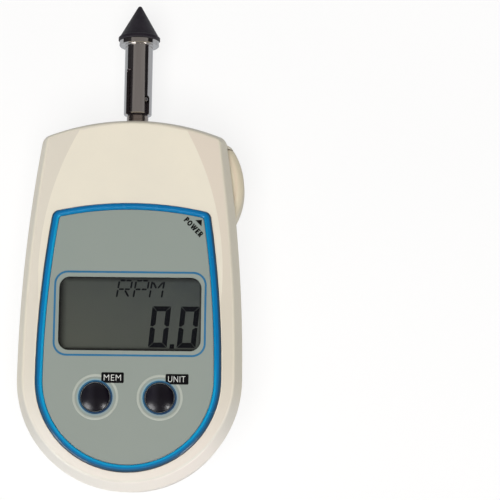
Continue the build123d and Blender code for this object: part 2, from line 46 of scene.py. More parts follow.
# ---------------------------------------------------------------- camera at the photograph's angle
tilt_x, tilt_y, roll = math.radians(1.013), math.radians(10.6), math.radians(0.80)
back = Vector((math.sin(tilt_x), -math.sin(tilt_y) * math.cos(tilt_x), math.cos(tilt_y) * math.cos(tilt_x))).normalized()
right = Vector((0, 1, 0)).cross(back).normalized()
up = back.cross(right)
right_r = right * math.cos(roll) + up * math.sin(roll)
up_r = up * math.cos(roll) - right * math.sin(roll)
eye = P(29.66, 63.455, 15.0) + back * 0.650
cam_data = bpy.data.cameras.new("camera")
cam_data.sensor_width = 36.0
cam_data.lens = 36.0 * 2529.2 / 500.0
cam_data.clip_start, cam_data.clip_end = 0.05, 20.0
cam = bpy.data.objects.new("camera", cam_data)
scene.collection.objects.link(cam)
cam.matrix_world = Matrix((
    (right_r.x, up_r.x, back.x, eye.x),
    (right_r.y, up_r.y, back.y, eye.y),
    (right_r.z, up_r.z, back.z, eye.z),
    (0, 0, 0, 1)))
scene.camera = cam


# ---------------------------------------------------------------- materials
def linear(c):
    """sRGB 0-255 to linear."""
    out = []
    for v in c:
        v = v / 255.0
        out.append(v / 12.92 if v <= 0.04045 else ((v + 0.055) / 1.055) ** 2.4)
    return tuple(out)


class Mat:
    """A procedural material round one principled shader, in object coordinates (metres)."""

    def __init__(self, name, rough=0.5, metallic=0.0, specular=0.5, **plain):
        self.m = bpy.data.materials.new(name)
        self.m.use_nodes = True
        self.t = self.m.node_tree
        self.t.nodes.clear()
        self.out = self.t.nodes.new("ShaderNodeOutputMaterial")
        self.b = self.t.nodes.new("ShaderNodeBsdfPrincipled")
        self.t.links.new(self.b.outputs[0], self.out.inputs[0])
        self.b.inputs["Roughness"].default_value = rough
        self.b.inputs["Metallic"].default_value = metallic
        self.b.inputs["Specular IOR Level"].default_value = specular
        for k, v in plain.items():
            self.b.inputs[k.replace("_", " ")].default_value = v
        self.co = self.t.nodes.new("ShaderNodeTexCoord").outputs["Object"]

    def node(self, kind, **sets):
        n = self.t.nodes.new(kind)
        for k, v in sets.items():
            setattr(n, k, v)
        return n

    def link(self, a, b):
        self.t.links.new(a, b)

    def stretched(self, sx, sy, sz):
        n = self.node("ShaderNodeMapping")
        n.inputs["Scale"].default_value = (sx, sy, sz)
        self.link(self.co, n.inputs["Vector"])
        return n.outputs[0]

    def noise(self, scale, detail=3.0, rough=0.55, co=None, distortion=0.0):
        n = self.node("ShaderNodeTexNoise")
        n.inputs["Scale"].default_value = scale
        n.inputs["Detail"].default_value = detail
        n.inputs["Roughness"].default_value = rough
        n.inputs["Distortion"].default_value = distortion
        self.link(co or self.co, n.inputs["Vector"])
        return n.outputs["Fac"]

    def voronoi(self, scale, co=None, feature="F1"):
        n = self.node("ShaderNodeTexVoronoi", feature=feature)
        n.inputs["Scale"].default_value = scale
        self.link(co or self.co, n.inputs["Vector"])
        return n.outputs["Distance"]

    def remap(self, v, a, b, c, d, smooth=False):
        n = self.node("ShaderNodeMapRange")
        if smooth:
            n.interpolation_type = "SMOOTHSTEP"
        for k, x in zip(("From Min", "From Max", "To Min", "To Max"), (a, b, c, d)):
            n.inputs[k].default_value = x
        self.link(v, n.inputs["Value"])
        return n.outputs["Result"]

    def math(self, op, a, b=None):
        n = self.node("ShaderNodeMath", operation=op)
        for i, v in enumerate((a, b)):
            if v is None:
                continue
            if isinstance(v, (int, float)):
                n.inputs[i].default_value = v
            else:
                self.link(v, n.inputs[i])
        return n.outputs[0]

    def mix(self, fac, a, b, blend="MIX"):
        n = self.node("ShaderNodeMix", data_type="RGBA", blend_type=blend)
        if isinstance(fac, (int, float)):
            n.inputs[0].default_value = fac
        else:
            self.link(fac, n.inputs[0])
        for k, v in ((6, a), (7, b)):
            if isinstance(v, tuple):
                n.inputs[k].default_value = (*v[:3], 1.0)
            else:
                self.link(v, n.inputs[k])
        return n.outputs[2]

    def axis(self, which):
        n = self.node("ShaderNodeSeparateXYZ")
        self.link(self.co, n.inputs[0])
        return n.outputs[which]

    def normal(self):
        """Surface normal in the object's own axes, split into x, y and z."""
        g = self.node("ShaderNodeNewGeometry")
        t = self.node("ShaderNodeVectorTransform", vector_type="NORMAL", convert_from="WORLD", convert_to="OBJECT")
        self.link(g.outputs["Normal"], t.inputs[0])
        n = self.node("ShaderNodeSeparateXYZ")
        self.link(t.outputs[0], n.inputs[0])
        return n.outputs

    def color(self, c):
        self.link(c, self.b.inputs["Base Color"])

    def mottled(self, c, amount=0.03, scale=60.0, tint=(1.0, 1.0, 1.0)):
        lo = tuple(max(0.0, v * (1 - amount)) for v in c)
        hi = tuple(min(1.0, v * (1 + amount) * t) for v, t in zip(c, tint))
        return self.mix(self.remap(self.noise(scale, 4.0), 0.35, 0.65, 0.0, 1.0), lo, hi)

    def roughen(self, lo, hi, scale, detail=3.0, co=None):
        self.link(self.remap(self.noise(scale, detail, co=co), 0.3, 0.7, lo, hi), self.b.inputs["Roughness"])

    def bump(self, height, distance_mm, strength=1.0, chain=None):
        n = self.node("ShaderNodeBump")
        n.inputs["Strength"].default_value = strength
        n.inputs["Distance"].default_value = distance_mm * MM
        self.link(height, n.inputs["Height"])
        if chain is not None:
            self.link(chain, n.inputs["Normal"])
        self.link(n.outputs[0], self.b.inputs["Normal"])
        return n.outputs[0]


def cream_plastic(name, tint=(1.0, 1.0, 1.0)):
    """Cream ABS with a fine spark-eroded grain, painted shade on the sloping side facets and on the band facing right
    and up, and painted light and shade towards the bottom end.
    """
    m = Mat(name, rough=0.46, specular=0.42)
    base = tuple(a * b for a, b in zip(CREAM, tint))
    tone = m.mottled(base, 0.022, 55.0, (1.0, 0.995, 0.985))
    # painted shade on the sloping side facets, most on the right
    nx, ny, nz = m.normal()
    facing_up = m.remap(nz, 0.90, 0.98, 0.0, 1.0)
    painted_facet_shade = m.mix(m.remap(m.axis(1), -0.022, 0.014, 0.0, 1.0), tuple(v * t for v, t in zip(base, (0.826, 0.812, 0.806))), tuple(v * t for v, t in zip(base, (0.915, 0.868, 0.870))))
    tone = m.mix(m.math("MULTIPLY", m.remap(nx, 0.012, 0.050, 0.0, 1.0), facing_up), tone, painted_facet_shade)
    tone = m.mix(m.math("MULTIPLY", m.remap(nx, -0.050, -0.012, 1.0, 0.0), facing_up), tone, tuple(v * t for v, t in zip(base, (0.888, 0.882, 0.900))))
    # painted shade on the band that faces right and up
    tone = m.mix(m.remap(m.math("ADD", nx, ny), 0.25, 0.70, 0.0, 1.0), tone, tuple(v * t for v, t in zip(base, (0.84, 0.83, 0.80))))
    # and painted light, paler towards the bottom end
    painted_bottom_light = m.mix(m.remap(m.axis(0), -0.020, -0.005, 0.0, 1.0), tuple(v * t for v, t in zip(base, (1.065, 1.085, 1.190))), tuple(v * t for v, t in zip(base, (1.005, 0.978, 1.062))))
    tone = m.mix(m.remap(m.axis(1), -0.064, -0.030, 0.85, 0.0, True), tone, painted_bottom_light)
    # painted shade where the surface turns down towards the bottom end
    tone = m.mix(m.math("MULTIPLY", m.remap(ny, -0.24, -0.08, 1.0, 0.0), m.remap(m.axis(1), -0.050, -0.034, 1.0, 0.0)), tone, tuple(v * t for v, t in zip(base, (0.905, 0.920, 0.975))))
    # painted light on the sloping band at the bottom end
    painted_bottom_band_light = m.mix(m.remap(m.axis(0), -0.018, 0.016, 0.0, 1.0), tuple(v * t for v, t in zip(base, (1.035, 1.065, 1.165))), tuple(v * t for v, t in zip(base, (1.150, 1.125, 1.215))))
    tone = m.mix(m.math("MULTIPLY", m.math("MINIMUM", m.remap(ny, -0.62, -0.36, 0.95, 0.0), m.remap(nz, 0.63, 0.80, 0.95, 0.0)), m.remap(m.axis(1), -0.050, -0.034, 1.0, 0.0)), tone, painted_bottom_band_light)
    speck = m.remap(m.noise(5200.0, 2.0), 0.62, 0.72, 0.0, 0.10)
    m.color(m.mix(speck, tone, tuple(v * 0.86 for v in base)))
    m.roughen(0.40, 0.52, 900.0)
    first = m.bump(m.noise(3600.0, 3.0, 0.6), 0.012, 0.55)
    m.bump(m.voronoi(2600.0), 0.006, 0.35, first)
    return m.m


CREAM = (0.765, 0.722, 0.612)

mats = {}
mats["cream"] = cream_plastic("cream_shell")
mats["cream_key"] = cream_plastic("cream_key", (0.955, 0.915, 0.835))

# panel: satin film, a touch lighter towards the bottom end
m = Mat("panel_film", specular=0.45)
grey = m.mix(m.remap(m.axis(1), -0.062, 0.008, 0.0, 1.0, True), (0.262, 0.297, 0.270), (0.258, 0.302, 0.276))
m.color(m.mix(m.remap(m.noise(70.0, 4.0), 0.35, 0.65, 0.0, 0.5), grey, (0.270, 0.306, 0.280)))
m.roughen(0.36, 0.46, 1500.0)
m.bump(m.noise(6500.0, 2.0), 0.004, 0.35)
mats["panel"] = m.m

# bezel ring: glossy blue, with painted shade on its outer slope, a painted shadow line at its outer edge, and painted
# light on its inner slope along the sides
m = Mat("bezel_gloss", specular=0.22)
nx = m.normal()
px, py = m.axis(0), m.math("ADD", m.axis(1), 0.0165)
length = m.math("SQRT", m.math("ADD", m.math("MULTIPLY", px, px), m.math("MULTIPLY", py, py)))
outward = m.math("DIVIDE", m.math("ADD", m.math("MULTIPLY", nx[0], px), m.math("MULTIPLY", nx[1], py)), length)
side = m.remap(m.math("ABSOLUTE", nx[0]), 0.10, 0.55, 0.25, 1.0, True)
low_end = m.remap(py, -0.022, -0.010, 0.9, 0.0, True)
# painted light on the inner slope, strongest on the left ring side
inner = m.math("MULTIPLY", m.remap(outward, -0.30, 0.06, 1.0, 0.0, True), m.math("MAXIMUM", m.math("MULTIPLY", side, m.remap(px, -0.018, 0.018, 1.0, 0.45)), low_end))
blue = m.mottled((0.0004, 0.152, 0.385), 0.04, 90.0)
blue = m.mix(inner, blue, (0.0060, 0.330, 0.610))
painted_slope_shade = m.math("MULTIPLY", m.remap(m.math("ADD", outward, m.math("MULTIPLY", low_end, 0.15)), 0.02, 0.42, 0.0, 1.0, True), m.remap(py, 0.0215, 0.0232, 1.0, 0.15, True))
blue = m.mix(painted_slope_shade, blue, (0.012, 0.078, 0.165))
# painted shadow line along the ring's outer edge
painted_edge_shadow = m.math("MULTIPLY", m.remap(outward, 0.45, 0.90, 0.0, 1.0, True), m.remap(py, 0.0215, 0.0232, 1.0, 0.12, True))
blue = m.mix(painted_edge_shadow, blue, (0.030, 0.048, 0.072))
m.color(blue)
m.roughen(0.20, 0.28, 700.0)
m.bump(m.noise(2400.0, 2.0), 0.003, 0.3)
mats["bezel"] = m.m


def gloss(name, c, lo, hi, amount=0.05, bump=0.002, **kw):
    g = Mat(name, **kw)
    g.color(g.mottled(c, amount, 160.0))
    g.roughen(lo, hi, 1200.0)
    g.bump(g.noise(3000.0, 2.0), bump, 0.3)
    return g.m


# domed keys: black, with a painted sheen, greyer where the dome falls away on the left
m = Mat("key_gloss", specular=0.32)
m.color(m.mix(m.remap(m.normal()[0], -0.26, 0.02, 0.0, 1.0), m.mottled((0.0125, 0.0112, 0.0172), 0.20, 160.0), m.mottled((0.0030, 0.0020, 0.0050), 0.25, 160.0)))
m.roughen(0.27, 0.33, 1200.0)
m.bump(m.noise(3000.0, 2.0), 0.0015, 0.3)
mats["key"] = m.m
mats["print_blue"] = gloss("print_blue", (0.014, 0.140, 0.290), 0.35, 0.45, 0.06)

# blue rings round the keys and pale halos outside them, with painted light to the upper left and painted shade towards
# the lower right
for which, bx in (("mem", -8.0), ("unit", 8.0)):
    m = Mat("print_ring_blue_" + which, specular=0.4)
    across = m.remap(m.axis(0), (bx - 4.3) * MM, (bx + 4.3) * MM, 0.5, 0.0)
    along = m.remap(m.axis(1), (23.05 - 4.3 - MID_Y) * MM, (23.05 + 4.3 - MID_Y) * MM, 0.0, 0.5)
    m.color(m.mix(m.math("ADD", across, along), (0.004, 0.020, 0.066), (0.022, 0.135, 0.250)))
    m.roughen(0.32, 0.42, 1200.0)
    m.bump(m.noise(3000.0, 2.0), 0.002, 0.3)
    mats["print_ring_" + which] = m.m
    # pale halo outside each ring, with the same painted light and shade across it
    m = Mat("print_halo_blue_" + which, specular=0.4)
    across = m.remap(m.axis(0), (bx - 4.6) * MM, (bx + 4.6) * MM, 0.5, 0.0)
    along = m.remap(m.axis(1), (23.05 - 4.6 - MID_Y) * MM, (23.05 + 4.6 - MID_Y) * MM, 0.0, 0.5)
    m.color(m.mix(m.math("ADD", across, along), (0.215, 0.270, 0.300), (0.250, 0.395, 0.430)))
    m.roughen(0.36, 0.46, 1500.0)
    m.bump(m.noise(6500.0, 2.0), 0.002, 0.3)
    mats["print_halo_" + which] = m.m
# dark navy ring at the edge of each key's hole, a painted shadow in the gap round the key
mats["print_navy"] = gloss("print_navy", (0.008, 0.014, 0.034), 0.38, 0.46, 0.04)
mats["print_black"] = gloss("print_black", (0.0028, 0.0028, 0.0034), 0.40, 0.50, 0.10, specular=0.14)
mats["print_white"] = gloss("print_white", (0.66, 0.68, 0.66), 0.38, 0.46, 0.03)
mats["segment"] = gloss("segment_dark", (0.0030, 0.0034, 0.0060), 0.40, 0.48, 0.12, specular=0.06)

# embossed ring in the film, the film's own colour made paler as a painted highlight
m = Mat("film_emboss", specular=0.5)
m.color(m.mottled((0.395, 0.428, 0.385), 0.04, 200.0))
m.roughen(0.28, 0.36, 1500.0)
m.bump(m.noise(6500.0, 2.0), 0.003, 0.3)
mats["emboss"] = m.m

# liquid-crystal glass: grey-green, slightly browner to the lower left, darker to the upper right
m = Mat("display_glass_grey", specular=0.08)
u = m.remap(m.axis(0), -0.018, 0.018, 0.0, 0.5)
v = m.remap(m.axis(1), -0.029, -0.0105, 0.0, 0.5)
g = m.mix(m.math("ADD", u, v), (0.110, 0.117, 0.097), (0.062, 0.073, 0.076))
g = m.mix(m.remap(m.noise(230.0, 3.0), 0.35, 0.65, 0.0, 0.35), g, (0.094, 0.108, 0.092))
# painted shadow of the recess walls along the glass's edges, widest on the left
painted_recess_shadow = m.math("MAXIMUM", m.remap(m.axis(0), -0.01785, -0.01550, 0.86, 0.0, True), m.remap(m.axis(1), -0.02874, -0.02789, 0.95, 0.0, True))
painted_recess_shadow = m.math("MAXIMUM", painted_recess_shadow, m.math("MAXIMUM", m.remap(m.axis(0), 0.01709, 0.01794, 0.0, 0.75, True), m.remap(m.axis(1), -0.01170, -0.01065, 0.0, 0.60, True)))
m.color(m.mix(painted_recess_shadow, g, (0.012, 0.011, 0.012)))
m.roughen(0.30, 0.38, 500.0)
m.bump(m.noise(9000.0, 1.0), 0.001, 0.2)
mats["display"] = m.m

# clear window
m = Mat("clear_window", specular=0.30, Alpha=0.08)
m.color(m.mottled((0.022, 0.024, 0.023), 0.05, 90.0))
m.roughen(0.03, 0.07, 300.0)
m.bump(m.noise(500.0, 1.0), 0.001, 0.2)
mats["window"] = m.m


def moulded(name, c, lo=0.45, hi=0.6, amount=0.08, grain=2600.0, depth=0.008, **kw):
    g = Mat(name, **kw)
    g.color(g.mottled(c, amount, 140.0))
    g.roughen(lo, hi, 900.0)
    g.bump(g.noise(grain, 3.0), depth, 0.45)
    return g.m


mats["frame_dark"] = moulded("frame_dark", (0.020, 0.019, 0.018))
mats["elastomer"] = moulded("elastomer", (0.10, 0.10, 0.10))
mats["switch"] = moulded("switch_black", (0.022, 0.022, 0.024))
mats["nylon"] = moulded("nylon_natural", (0.52, 0.50, 0.44))
mats["epoxy"] = moulded("epoxy_black", (0.022, 0.022, 0.025))
mats["sensor"] = moulded("sensor_black", (0.015, 0.015, 0.016))
mats["housing"] = moulded("housing_grey", (0.070, 0.070, 0.072))
mats["acetal"] = moulded("acetal_black", (0.014, 0.014, 0.015), 0.35, 0.5)

# circuit board: green mask with fine copper runs under it
m = Mat("board_green", specular=0.5, Coat_Weight=0.3, Coat_Roughness=0.2)
runs = m.node("ShaderNodeTexWave", wave_type="BANDS", bands_direction="X")
runs.inputs["Scale"].default_value = 160.0
runs.inputs["Distortion"].default_value = 6.0
runs.inputs["Detail"].default_value = 0.0
m.link(m.co, runs.inputs["Vector"])
m.color(m.mix(m.remap(runs.outputs["Fac"], 0.72, 0.80, 0.0, 1.0), (0.010, 0.090, 0.032), (0.022, 0.150, 0.055)))
m.roughen(0.30, 0.42, 500.0)
m.bump(m.remap(runs.outputs["Fac"], 0.72, 0.80, 0.0, 1.0), 0.02, 0.4)
mats["board"] = m.m


def metal(name, c, lo, hi, amount=0.05, stretch=(1, 1, 1), scale=800.0, depth=0.002, **kw):
    g = Mat(name, metallic=1.0, **kw)
    co = g.stretched(*stretch)
    a, b = tuple(v * (1 - amount) for v in c), tuple(min(1.0, v * (1 + amount)) for v in c)
    g.color(g.mix(g.remap(g.noise(scale, 4.0, co=co), 0.35, 0.65, 0.0, 1.0), a, b))
    g.link(g.remap(g.noise(scale * 1.7, 3.0, co=co), 0.3, 0.7, lo, hi), g.b.inputs["Roughness"])
    g.bump(g.noise(scale * 2.3, 2.0, co=co), depth, 0.35)
    return g.m


mats["sleeve"] = metal("nickel_sleeve", (0.60, 0.57, 0.555), 0.08, 0.14, 0.05, (1.0, 0.08, 1.0), 900.0, 0.0012)

# spindle: turned collar, and a nose where the adaptor slides on, darkened as painted shade inside the adaptor's slots
m = Mat("turned_spindle", metallic=1.0)
co = m.stretched(0.3, 6.0, 0.3)
grain = m.remap(m.noise(700.0, 4.0, co=co), 0.35, 0.65, 0.0, 1.0)
collar = m.mix(grain, (0.375, 0.318, 0.280), (0.450, 0.385, 0.345))
painted_nose_shade = m.mix(grain, (0.085, 0.075, 0.085), (0.115, 0.100, 0.110))
m.color(m.mix(m.remap(m.axis(1), (98.3 - MID_Y) * MM, (98.5 - MID_Y) * MM, 0.0, 1.0), collar, painted_nose_shade))
m.link(m.remap(m.noise(1200.0, 3.0, co=co), 0.3, 0.7, 0.20, 0.30), m.b.inputs["Roughness"])
m.bump(m.noise(1600.0, 2.0, co=co), 0.002, 0.35)
mats["spindle"] = m.m
mats["pin"] = metal("pin_steel", (0.34, 0.32, 0.32), 0.22, 0.30)
mats["steel"] = metal("ground_steel", (0.58, 0.58, 0.58), 0.18, 0.28)
mats["ball"] = metal("ball_chrome", (0.78, 0.78, 0.78), 0.05, 0.09, 0.03)
mats["contact"] = metal("contact_nickel", (0.62, 0.60, 0.56), 0.20, 0.32)
mats["screw"] = metal("screw_zinc", (0.56, 0.56, 0.57), 0.24, 0.36, 0.08)
mats["can"] = metal("crystal_can", (0.62, 0.62, 0.61), 0.22, 0.34)

# cells: dark sleeve with a copper-coloured band at the nub's end, bare steel ends
m = Mat("cell_sleeve", specular=0.5, Coat_Weight=0.4, Coat_Roughness=0.15)
ring_pos = m.remap(m.math("MULTIPLY", m.axis(1), m.math("SIGN", m.axis(0))), 0.0, 1.0, 0.0, 1.0)
along = m.math("MULTIPLY", m.math("SUBTRACT", m.axis(1), -0.03025), m.math("SIGN", m.axis(0)))
m.color(m.mix(m.remap(along, -0.0135, -0.0130, 1.0, 0.0), m.mottled((0.022, 0.024, 0.028), 0.08, 120.0), (0.42, 0.20, 0.085)))
m.roughen(0.24, 0.32, 500.0)
m.bump(m.noise(1800.0, 2.0), 0.003, 0.3)
mats["cell"] = m.m

# rubber cone: matte, nearly black, with a fine moulded grain and a faint bloom
m = Mat("cone_rubber", specular=0.28, Sheen_Weight=0.05, Sheen_Roughness=0.5)
m.color(m.mix(m.remap(m.noise(420.0, 5.0, 0.65), 0.42, 0.72, 0.0, 1.0), (0.0095, 0.0065, 0.0120), (0.0170, 0.0130, 0.0200)))
m.roughen(0.48, 0.64, 1300.0)
first = m.bump(m.noise(2600.0, 4.0, 0.65), 0.020, 0.5)
m.bump(m.voronoi(1900.0), 0.012, 0.3, first)
mats["rubber"] = m.m

USE = {
    "rear_case": "cream", "front_case": "cream", "battery_door": "cream", "power_button": "cream_key",
    "bezel_ring": "bezel", "front_panel": "panel", "display_window": "window", "display_glass": "display",
    "display_frame": "frame_dark", "display_connector": "elastomer",
    "mem_button": "key", "unit_button": "key",
    "mem_switch": "switch", "unit_switch": "switch", "power_switch": "switch",
    "mem_switch_plunger": "nylon", "unit_switch_plunger": "nylon", "power_switch_plunger": "nylon",
    "main_board": "board", "controller_chip": "epoxy", "timing_crystal": "can", "light_sensor": "sensor",
    "bearing_housing": "housing", "slotted_disc": "acetal",
    "front_bearing_outer_ring": "steel", "front_bearing_inner_ring": "steel", "front_bearing_shields": "steel",
    "rear_bearing_outer_ring": "steel", "rear_bearing_inner_ring": "steel", "rear_bearing_shields": "steel",
    "front_bearing_balls": "ball", "rear_bearing_balls": "ball", "front_bearing_cage": "nylon", "rear_bearing_cage": "nylon",
    "bearing_spacer": "steel", "retaining_clip": "steel", "spindle": "spindle", "drive_pin": "pin",
    "adaptor_sleeve": "sleeve", "cone_tip": "rubber",
    "battery_left": "cell", "battery_right": "cell", "battery_springs": "contact",
    "contact_plate_left": "contact", "contact_plate_right": "contact", "contact_link_plate": "contact",
    "case_screws": "screw", "board_screws": "screw", "housing_screws": "screw",
}
for name, ob in nodes.items():
    ob.data.materials.clear()
    ob.data.materials.append(mats[USE[name]])


# ---------------------------------------------------------------- thin printed pieces
def piece(name, verts, faces, mat, body, slot):
    me = bpy.data.meshes.new(name)
    me.from_pydata([tuple(v) for v in verts], [], faces)
    me.validate()
    me.update()
    ob = bpy.data.objects.new(name, me)
    scene.collection.objects.link(ob)
    me.materials.append(mats[mat])
    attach(ob, body)
    return ob


def plates(loops, z0, z1):
    """Closed flat plates from outlines of (x, y) in millimetres, counter-clockwise."""
    vs, fs = [], []
    for loop in loops:
        area = sum(loop[i][0] * loop[(i + 1) % len(loop)][1] - loop[(i + 1) % len(loop)][0] * loop[i][1] for i in range(len(loop)))
        if area < 0:
            loop = loop[::-1]
        b, n = len(vs), len(loop)
        vs += [P(x, y, z0) for x, y in loop] + [P(x, y, z1) for x, y in loop]
        fs.append(tuple(range(b + n - 1, b - 1, -1)))
        fs.append(tuple(range(b + n, b + 2 * n)))
        fs += [(b + i, b + (i + 1) % n, b + n + (i + 1) % n, b + n + i) for i in range(n)]
    return vs, fs


def band(outer, inner, z0, z1, crown=0.0):
    """Closed flat band between two outlines of as many points; crown lifts its middle, in millimetres."""
    n = len(outer)
    rows = [(outer, z0), (outer, z1)]
    if crown:
        for k in (0.2, 0.5, 0.8):
            mid = [(o[0] + (i[0] - o[0]) * k, o[1] + (i[1] - o[1]) * k) for o, i in zip(outer, inner)]
            rows.append((mid, z1 + crown * (1.0 if k == 0.5 else 0.7)))
    rows += [(inner, z1), (inner, z0)]
    vs = [P(x, y, z) for loop, z in rows for x, y in loop]
    m = len(rows)
    fs = [(a * n + i, a * n + (i + 1) % n, ((a + 1) % m) * n + (i + 1) % n, ((a + 1) % m) * n + i) for a in range(m) for i in range(n)]
    return vs, fs


def circle(cx, cy, r, n=96):
    return [(cx + r * math.cos(2 * math.pi * k / n), cy + r * math.sin(2 * math.pi * k / n)) for k in range(n)]


def rounded(x0, x1, y0, y1, r, n=12):
    pts = []
    for cx, cy, a0 in ((x1 - r, y1 - r, 0), (x0 + r, y1 - r, 90), (x0 + r, y0 + r, 180), (x1 - r, y0 + r, 270)):
        for k in range(n + 1):
            a = math.radians(a0 + 90.0 * k / n)
            pts.append((cx + r * math.cos(a), cy + r * math.sin(a)))
    return pts


TOP = 30.2           # top of the panel film


def clear_of(loop, cx, cy, r):
    """The outline with its part inside a circle pushed out onto the circle."""
    out = []
    for i, (x, y) in enumerate(loop):
        qx, qy = loop[(i + 1) % len(loop)]
        n = max(1, int(math.hypot(qx - x, qy - y) / 0.12))
        for k in range(n):
            a, b = x + (qx - x) * k / n, y + (qy - y) * k / n
            d = math.hypot(a - cx, b - cy)
            if d < r:
                a, b = cx + (a - cx) * r / d, cy + (b - cy) * r / d
            out.append((a, b))
    return out


# thin blue line round the display
LINE = (-19.0, 19.22, 33.32, 54.88, 3.4)
w = 0.50
piece("display_border_line", *band(rounded(*LINE), rounded(LINE[0] + w, LINE[1] - w, LINE[2] + w, LINE[3] - w, LINE[4] - w), TOP, TOP + 0.02), "print_blue", "case", "panel")

for key, bx, tab in (("mem", -8.0, (-6.64, -1.02, 26.62, 29.28)), ("unit", 8.0, (9.39, 15.10, 26.40, 29.02))):
    by = 23.05
    piece(key + "_label_tab", *plates([clear_of(rounded(*tab, 0.28, 6), bx, by, 4.28)], TOP, TOP + 0.034), "print_black", "case", "panel")
    piece(key + "_ring_gap_shadow", *band(circle(bx, by, 3.90), circle(bx, by, 3.66), TOP, TOP + 0.026), "print_navy", "case", "panel")
    piece(key + "_ring_blue", *band(circle(bx, by, 4.28), circle(bx, by, 3.90), TOP, TOP + 0.030), "print_ring_" + key, "case", "panel")
    piece(key + "_ring_halo", *band(circle(bx, by, 4.62), circle(bx, by, 4.28), TOP, TOP + 0.008), "print_halo_" + key, "case", "panel")
    piece(key + "_ring_embossed", *band(circle(bx, by, 5.74, 128), circle(bx, by, 5.16, 128), TOP, TOP + 0.006, 0.022), "emboss", "case", "panel")


def lettering(name, text, width, height, place, angle, mat, body, z0, z1, bold=0.0, spacing=1.0):
    """Plain sans-serif letters as a closed thin mesh, fitted to a width and a height in millimetres, its lower left corner at place."""
    cu = bpy.data.curves.new(name + "_font", "FONT")
    cu.body = text
    cu.size = 1.0
    cu.offset = bold
    cu.space_character = spacing
    cu.extrude = 0.5
    cu.resolution_u = 6
    tmp = bpy.data.objects.new(name + "_font", cu)
    scene.collection.objects.link(tmp)
    bpy.context.view_layer.update()
    me = bpy.data.meshes.new_from_object(tmp.evaluated_get(bpy.context.evaluated_depsgraph_get()))
    bpy.data.objects.remove(tmp)
    xs, ys = [v.co.x for v in me.vertices], [v.co.y for v in me.vertices]
    x0, x1, y0, y1 = min(xs), max(xs), min(ys), max(ys)
    c, s = math.cos(math.radians(angle)), math.sin(math.radians(angle))
    for v in me.vertices:
        a = (v.co.x - x0) / (x1 - x0) * width
        b = (v.co.y - y0) / (y1 - y0) * height
        z = z1 if v.co.z > 0 else z0
        v.co = P(place[0] + a * c - b * s, place[1] + a * s + b * c, z)
    me.name = name
    ob = bpy.data.objects.new(name, me)
    scene.collection.objects.link(ob)
    me.materials.clear()
    me.materials.append(mats[mat])
    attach(ob, body)
    return ob


lettering("mem_label", "MEM", 4.30, 1.50, (-6.00, 27.20), 0, "print_white", "case", TOP + 0.034, TOP + 0.044, -0.010, 1.10)
lettering("unit_label", "UNIT", 4.30, 1.50, (10.02, 26.98), 0, "print_white", "case", TOP + 0.034, TOP + 0.044, -0.006, 1.12)


def bold_word(place, angle, width, height):
    """POWER in bold block letters, each from plain closed outlines one unit high."""
    def arc(cx, cy, rx, ry, a0, a1, n=12):
        return [(cx + rx * math.cos(math.radians(a0 + (a1 - a0) * k / n)), cy + ry * math.sin(math.radians(a0 + (a1 - a0) * k / n))) for k in range(n + 1)]

    t = 0.30
    stem = [(0, 0), (t, 0), (t, 1), (0, 1)]
    bowl = [(t, 1), *arc(0.36, 0.69, 0.30, 0.31, 90, -90), (t, 0.37), (t, 0.60), *arc(0.35, 0.69, 0.055, 0.09, -90, 90), (t, 0.78)]
    right_half = arc(0.43, 0.5, 0.43, 0.515, -90, 90, 20) + arc(0.43, 0.5, 0.150, 0.260, 90, -90, 20)
    left_half = arc(0.43, 0.5, 0.43, 0.515, 90, 270, 20) + arc(0.43, 0.5, 0.150, 0.260, 270, 90, 20)
    letters = [
        (0.64, [stem, bowl]),
        (0.86, [right_half, left_half]),
        (1.18, [[(0, 1), (0.29, 1), (0.385, 0.44), (0.47, 1), (0.71, 1), (0.795, 0.44), (0.89, 1), (1.18, 1), (0.95, 0), (0.665, 0), (0.59, 0.50), (0.515, 0), (0.23, 0)]]),
        (0.58, [[(0, 0), (0.58, 0), (0.58, 0.24), (t, 0.24), (t, 0.39), (0.55, 0.39), (0.55, 0.62), (t, 0.62), (t, 0.765), (0.58, 0.765), (0.58, 1), (0, 1)]]),
        (0.70, [stem, bowl, [(0.28, 0.42), (0.39, 0), (0.72, 0), (0.55, 0.46), (0.40, 0.40)]]),
    ]
    gaps = (0.115, 0.085, 0.125, 0.145)
    total = sum(w for w, _ in letters) + sum(gaps)
    k, c, sn, x, loops = width / total, math.cos(math.radians(angle)), math.sin(math.radians(angle)), 0.0, []
    for i, (w, shapes) in enumerate(letters):
        for shape in shapes:
            pts = [((x + u) * k, v * height) for u, v in shape]
            loops.append([(place[0] + a * c - b * sn, place[1] + a * sn + b * c) for a, b in pts])
        x += w + (gaps[i] if i < len(gaps) else 0.0)
    return loops


piece("power_label", *plates(bold_word((13.08, 67.98), -46.0, 6.02, 1.46), TOP, TOP + 0.02), "print_black", "case", "panel")
piece("power_arrow", *plates([[(17.72, 68.20), (16.08, 68.10), (17.66, 66.50)]], TOP, TOP + 0.02), "print_black", "case", "panel")

# ---------------------------------------------------------------- what the display shows
SEG0, SEG1 = 27.6, 27.63


def sheared(pts, x, y, slant):
    return [(x + a + b * slant, y + b) for a, b in pts]


